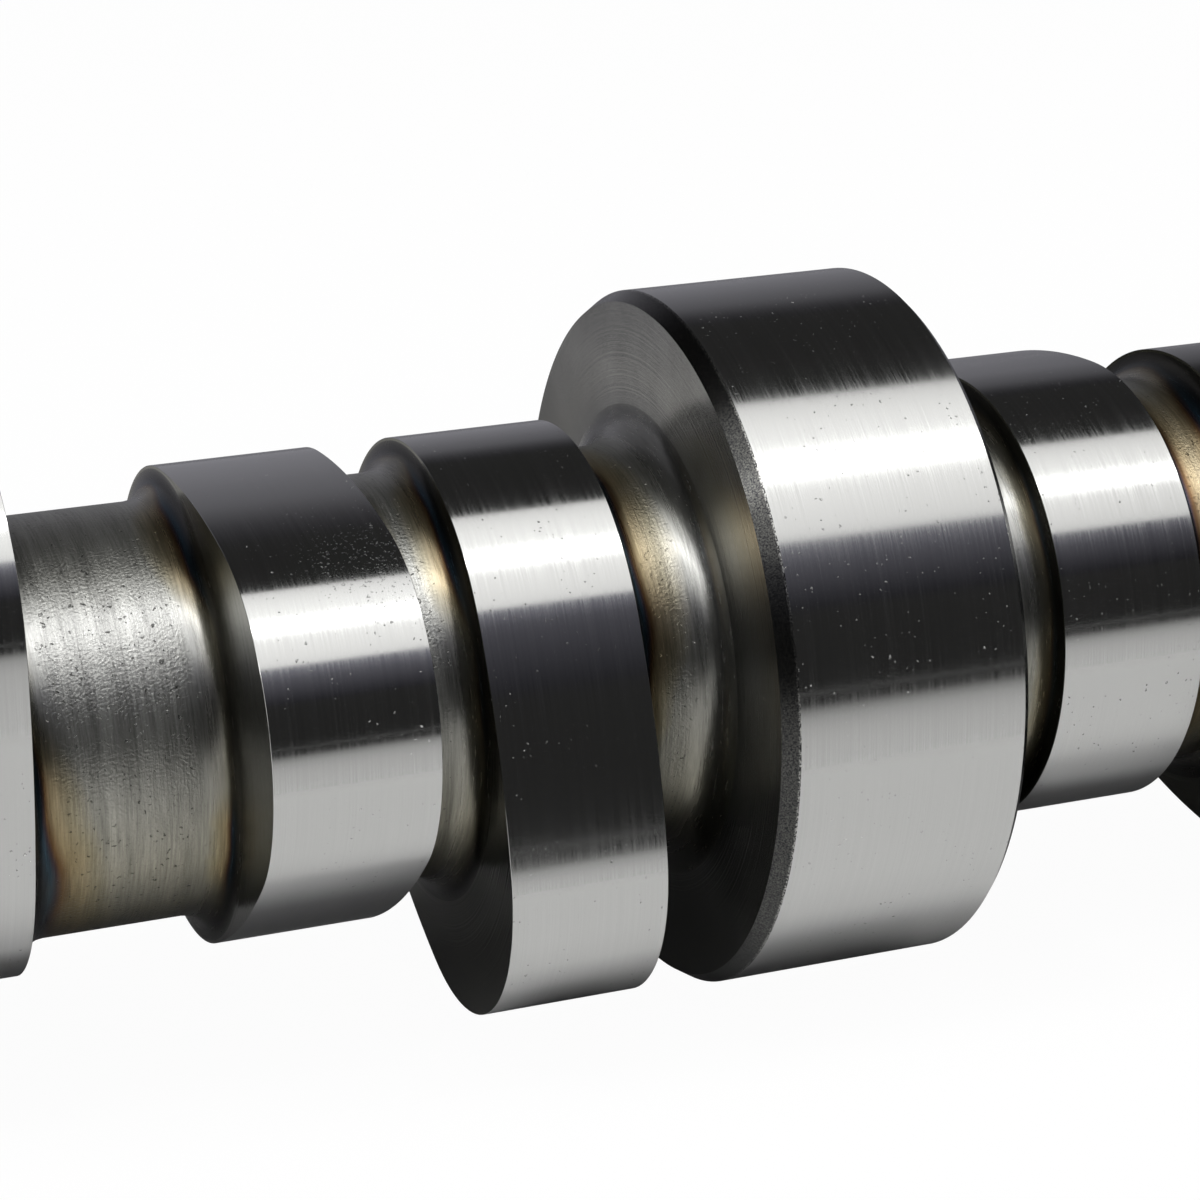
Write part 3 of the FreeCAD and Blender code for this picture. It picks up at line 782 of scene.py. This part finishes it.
around = add_node(tree, "Tangent", direction_type="RADIAL", axis="X")
shader = add_node(tree, "BsdfPrincipled", {"Base Color": tone, "Metallic": 1.0, "Roughness": gloss,
                                           "Anisotropic": 0.5, "Anisotropic Rotation": 0.25,
                                           "Normal": bump, "Tangent": around})
add_node(tree, "OutputMaterial", {"Surface": shader})
for material in (ground, turned, chamfer, side, faced):
    camshaft_mesh.materials.append(material)
print([material.name for material in camshaft_mesh.materials])

# %% [markdown]
# # The dowel pin
#
# The pin is bought as a finished standard part: hardened, ground and slightly brighter than the
# shaft. Its measured solid already has the right form, so it only needs a material.

# %% Dowel steel
dowel_steel, tree = new_material("hardened_dowel_steel")
place = add_node(tree, "TexCoord").outputs["Object"]
haze = add_node(tree, "TexNoise", {"Vector": place, "Scale": 1000 / 0.8, "Detail": 2.0})
tone = add_node(tree, "ValToRGB", {"Fac": haze})
set_stops(tone, [(0.3, "#C0C0C2"), (0.7, "#CBCBCC")])
shader = add_node(tree, "BsdfPrincipled", {"Base Color": tone, "Metallic": 1.0, "Roughness": 0.2})
add_node(tree, "OutputMaterial", {"Surface": shader})
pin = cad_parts["dowel_pin"]
pin.data.materials.clear()
pin.data.materials.append(dowel_steel)
print("dowel pin wears", pin.data.materials[0].name)

# %% [markdown]
# # White floor
#
# The shaft lies on a white table. To the camera the table is mostly white by itself, so the
# picture's background is clean, and for the rest it is lit by the studio and keeps the shaft's soft
# shadow. In reflections it is the lit table that shows, with its own shadow and a painted shadow, so
# that the underside of the shaft gets darker towards the floor as it does on a real table.
#
# A painted shadow lies in a strip under the shaft, where the steel would otherwise mirror the white
# table. It is dark under each bearing, paler and narrower between them, and stops at the ends of the
# shaft. A Ping-Pong node repeats the pattern from one bearing to the next.

# %% Floor
def flat_sheet(name, corners, material):
    """A four-cornered sheet of the studio, in metres."""
    mesh = bpy.data.meshes.new(name)
    mesh.from_pydata(corners, [], [(0, 1, 2, 3)])
    mesh.materials.append(material)
    sheet = bpy.data.objects.new(name, mesh)
    scene.collection.objects.link(sheet)
    return sheet


FLOOR_Z = -JOURNAL_R * mm
HALF_STRIP, HALF_LENGTH = 0.024, 0.236    # metres
table_white, tree = new_material("white_table")
rays = add_node(tree, "LightPath")
mirrored = add_node(tree, "Math", {0: rays.outputs["Is Glossy Ray"],
                                   1: rays.outputs["Is Transmission Ray"]}, operation="ADD")
dimmed = add_node(tree, "Math", {0: mirrored, 1: 0.02}, operation="MULTIPLY")
seen = add_node(tree, "Math", {0: rays.outputs["Is Camera Ray"], 1: 0.97, 2: dimmed},
                operation="MULTIPLY_ADD", use_clamp=True)
place = add_node(tree, "TexCoord").outputs["Object"]
across = add_node(tree, "SeparateXYZ", {"Vector": place})
off_axis = add_node(tree, "Math", {0: across.outputs["Y"]}, operation="ABSOLUTE")
off_middle = add_node(tree, "Math", {0: across.outputs["X"], 1: BEARINGS[2] * mm}, operation="SUBTRACT")
off_length = add_node(tree, "Math", {0: off_middle}, operation="ABSOLUTE")
beyond = add_node(tree, "MapRange", {"Value": off_length,
                                     "From Min": HALF_LENGTH, "From Max": HALF_LENGTH + 0.014,
                                     "To Min": 0.0, "To Max": HALF_STRIP})
off_strip = add_node(tree, "Math", {0: off_axis, 1: beyond}, operation="ADD")
strip = add_node(tree, "MapRange", {"Value": off_strip, "From Min": 0.0, "From Max": HALF_STRIP})
# Painted shadow under the shaft: darkest under the bearings, paler between them.
shadow_under_bearings = add_node(tree, "ValToRGB", {"Fac": strip})
set_stops(shadow_under_bearings, [(0.4, "#787878"), (0.58, "#ACACAC"), (0.72, "#CCCCCC"), (0.88, "#E6E6E6"),
                  (1.0, "#F6F6F6")])
paler_ramp = add_node(tree, "ValToRGB", {"Fac": strip})
set_stops(paler_ramp, [(0.25, "#BCBCBC"), (0.5, "#F6F6F6"), (1.0, "#F6F6F6")])
off_first = add_node(tree, "Math", {0: across.outputs["X"], 1: FRONT_BEARING * mm},
                     operation="SUBTRACT")
off_bearing = add_node(tree, "Math", {0: off_first, 1: JOURNAL_PITCH * mm / 2}, operation="PINGPONG")
between_bearings_share = add_node(tree, "MapRange", {"Value": off_bearing, "From Min": 0.021, "From Max": 0.028},
                      interpolation_type="SMOOTHSTEP")
painted_shadow = add_node(tree, "Mix", {"Factor": between_bearings_share, 6: shadow_under_bearings, 7: paler_ramp}, data_type="RGBA")
lit = add_node(tree, "BsdfDiffuse", {"Color": painted_shadow})
white = add_node(tree, "Emission", {"Color": colour("#FFFFFF"), "Strength": 1.0})
mixed = add_node(tree, "MixShader", {0: seen, 1: lit, 2: white})
add_node(tree, "OutputMaterial", {"Surface": mixed})
flat_sheet("white_table", [(-4, -4, FLOOR_Z), (4, -4, FLOOR_Z), (4, 4, FLOOR_Z), (-4, 4, FLOOR_Z)],
           table_white)
print("floor at", FLOOR_Z, "m")

# %% [markdown]
# # Softbox and cards
#
# Polished round steel is photographed with long lights and black cards: every surface of the shaft
# then shows the same bands, bright, black and grey, which tell the eye how round it is. Each card
# runs along the shaft and is placed by the angle at which the shaft sees it: 0 degrees is level
# towards the camera, 90 is straight up and 180 is level behind.
#
# A card glows by itself. Its light changes from one long edge to the other, and the shaft repeats
# those steps as bands: the bright core of a highlight is the lamp behind the softbox's cloth. Along
# the shaft each card fades too, because a real lamp stands nearer to one end. The camera doesn't see
# the cards. Area lamps could take their place, but they can't carry a ramp.

# %% Materials for the cards
CARD_ENDS = (-2.8, 2.3)
BRIGHTEST = 8.0      # level of the lamp behind the softbox's cloth, where white is 1


def card_material(name, stops, fade=(1.0, 1.0)):
    """Light across a card from its first edge to its second; each stop is (place, hex, level).

    fade gives how much of it is left towards the rear end and towards the front end of the shaft.
    """
    material, tree = new_material(name)
    across = add_node(tree, "Attribute", attribute_name="across").outputs["Fac"]
    ramp = add_node(tree, "ValToRGB", {"Fac": across})
    set_stops(ramp, [(spot, code) for spot, code, _ in stops])
    levels = add_node(tree, "ValToRGB", {"Fac": across})
    set_stops(levels, [(spot, "#000000") for spot, _, _ in stops])
    for element, (_, _, level) in zip(levels.color_ramp.elements, stops):
        element.color = (level / BRIGHTEST, level / BRIGHTEST, level / BRIGHTEST, 1.0)
    place = add_node(tree, "TexCoord").outputs["Object"]
    along = add_node(tree, "SeparateXYZ", {"Vector": place})
    left = add_node(tree, "MapRange", {"Value": along.outputs["X"], "From Min": -0.1, "From Max": 0.35,
                                       "To Min": fade[0] * BRIGHTEST, "To Max": fade[1] * BRIGHTEST})
    strength = add_node(tree, "Math", {0: levels, 1: left}, operation="MULTIPLY")
    glow = add_node(tree, "Emission", {"Color": ramp, "Strength": strength})
    add_node(tree, "OutputMaterial", {"Surface": glow})
    return material


black_felt = card_material("black_felt", [(0.0, "#FFFFFF", 0.03), (1.0, "#FFFFFF", 0.035)])
violet_cloth = card_material("violet_grey_cloth", [(0.0, "#E8E8FC", 0.04), (0.3, "#E8E8FC", 0.11),
                                                   (0.65, "#E8E8FC", 0.22), (0.9, "#E8E8FC", 0.42),
                                                   (1.0, "#ECECFC", 0.6)], (0.95, 0.6))
softbox_cloth = card_material("softbox_cloth", [(0.0, "#FFFFFF", 1.5), (0.2, "#FFFFFF", 1.6),
                                                (0.44, "#FFFFFF", 1.75), (0.51, "#FFFFFF", 2.6),
                                                (0.53, "#FFFFFF", 7.0), (0.61, "#FFFFFF", 7.0),
                                                (0.63, "#FFFFFF", 2.6), (0.7, "#FFFFFF", 1.9),
                                                (0.82, "#FFFFFF", 1.75), (1.0, "#FFFFFF", 1.4)],
                               (1.1, 0.88))
grey_cloth = card_material("grey_cloth", [(0.0, "#F2F1FC", 0.03), (0.12, "#F2F1FC", 0.06),
                                          (0.3, "#F2F1FC", 0.16), (0.6, "#F2F1FC", 0.22),
                                          (1.0, "#F2F1FC", 0.26)], (1.45, 0.75))
print("four cloths for the cards")

# %% Cards round the shaft
def hidden_sheet(name, first_edge, second_edge, material):
    """A sheet along the shaft that the camera doesn't see; an edge is (y, z) in metres."""
    corners = [(x, *first_edge) for x in CARD_ENDS] + [(x, *second_edge) for x in CARD_ENDS[::-1]]
    sheet = flat_sheet(name, corners, material)
    across = sheet.data.attributes.new("across", "FLOAT", "POINT")
    across.data.foreach_set("value", (0.0, 0.0, 1.0, 1.0))
    sheet.visible_camera = False
    return sheet


def card(name, first, second, material):
    """A long card between two edges, each given as (degrees, metres from the shaft)."""
    edges = []
    for degrees, reach in (first, second):
        turn = math.radians(degrees)
        edges.append((-reach * math.cos(turn), reach * math.sin(turn)))
    hidden_sheet(name, *edges, material)


card("front_flag", (-1.4, 0.9), (25, 0.99), black_felt)
card("violet_card", (25, 0.99), (46.6, 1.0), violet_cloth)
card("softbox", (46.6, 1.0), (97, 0.745), softbox_cloth)
card("rear_flag", (97, 0.745), (139, 0.9), black_felt)
card("rear_card", (139, 0.9), (181.6, 0.9), grey_cloth)
print("five cards stand round the shaft")

# %% [markdown]
# Cloths and a painted shade on the table
#
# The lower half of the shaft mirrors the table. Close to the shaft it is white, and further away it
# is covered with a sheet of painted shade, which fades from white to dark grey as the table's light
# would, and with grey and black cloth; they give the lower bright band its dark edge. These sheets
# show only in reflections: they cast no shadow and light nothing else.

# %% Cloths and a painted shade on the table
def reflected_sheet(name, near, far, material):
    """A sheet that lies on the table along the shaft and shows only in reflections."""
    level = FLOOR_Z + 0.0005
    cloth = hidden_sheet(name, (near, level), (far, level), material)
    cloth.visible_diffuse = False
    cloth.visible_shadow = False


# Painted shade: this sheet glows white near the shaft and fades to dark grey further out.
table_falloff_shade = card_material("table_falloff_shade", [(0.0, "#FFFFFF", 0.92), (0.25, "#FFFFFF", 0.8),
                                                (0.55, "#FFFFFF", 0.6), (1.0, "#FFFFFF", 0.16)])
rear_cloth = card_material("rear_cloth", [(0.0, "#F6F4EE", 0.75), (0.06, "#F6F4EE", 0.6),
                                          (0.15, "#F2F1FC", 0.24), (1.0, "#F2F1FC", 0.2)])
reflected_sheet("shaded_table_edge", -0.08, -0.32, table_falloff_shade)
reflected_sheet("front_felt", -0.32, -0.9, black_felt)
reflected_sheet("rear_felt", 0.05, 0.9, rear_cloth)
print("three cloths lie on the table")

# %% [markdown]
# # The world behind it all
#
# Where a ray misses everything it meets the world. To the camera and in reflections that is pure
# white, like the paper behind a product, and for the light that falls on the shaft it is a little
# less. The Standard view transform then shows every colour as it was written.

# %% World
world = bpy.data.worlds.new("white_studio")
scene.world = world
world.use_nodes = True
tree = world.node_tree
tree.nodes.clear()
rays = add_node(tree, "LightPath")
straight = add_node(tree, "Math", {0: rays.outputs["Is Camera Ray"], 1: rays.outputs["Is Glossy Ray"]},
                    operation="ADD")
seen = add_node(tree, "Math", {0: straight, 1: rays.outputs["Is Transmission Ray"]}, operation="ADD",
                use_clamp=True)
level = add_node(tree, "MapRange", {"Value": seen, "To Min": 0.8, "To Max": 1.0})
sky = add_node(tree, "Background", {"Color": colour("#FFFFFF"), "Strength": level})
add_node(tree, "OutputWorld", {"Surface": sky})
scene.view_settings.view_transform = "Standard"
print("view transform", scene.view_settings.view_transform)
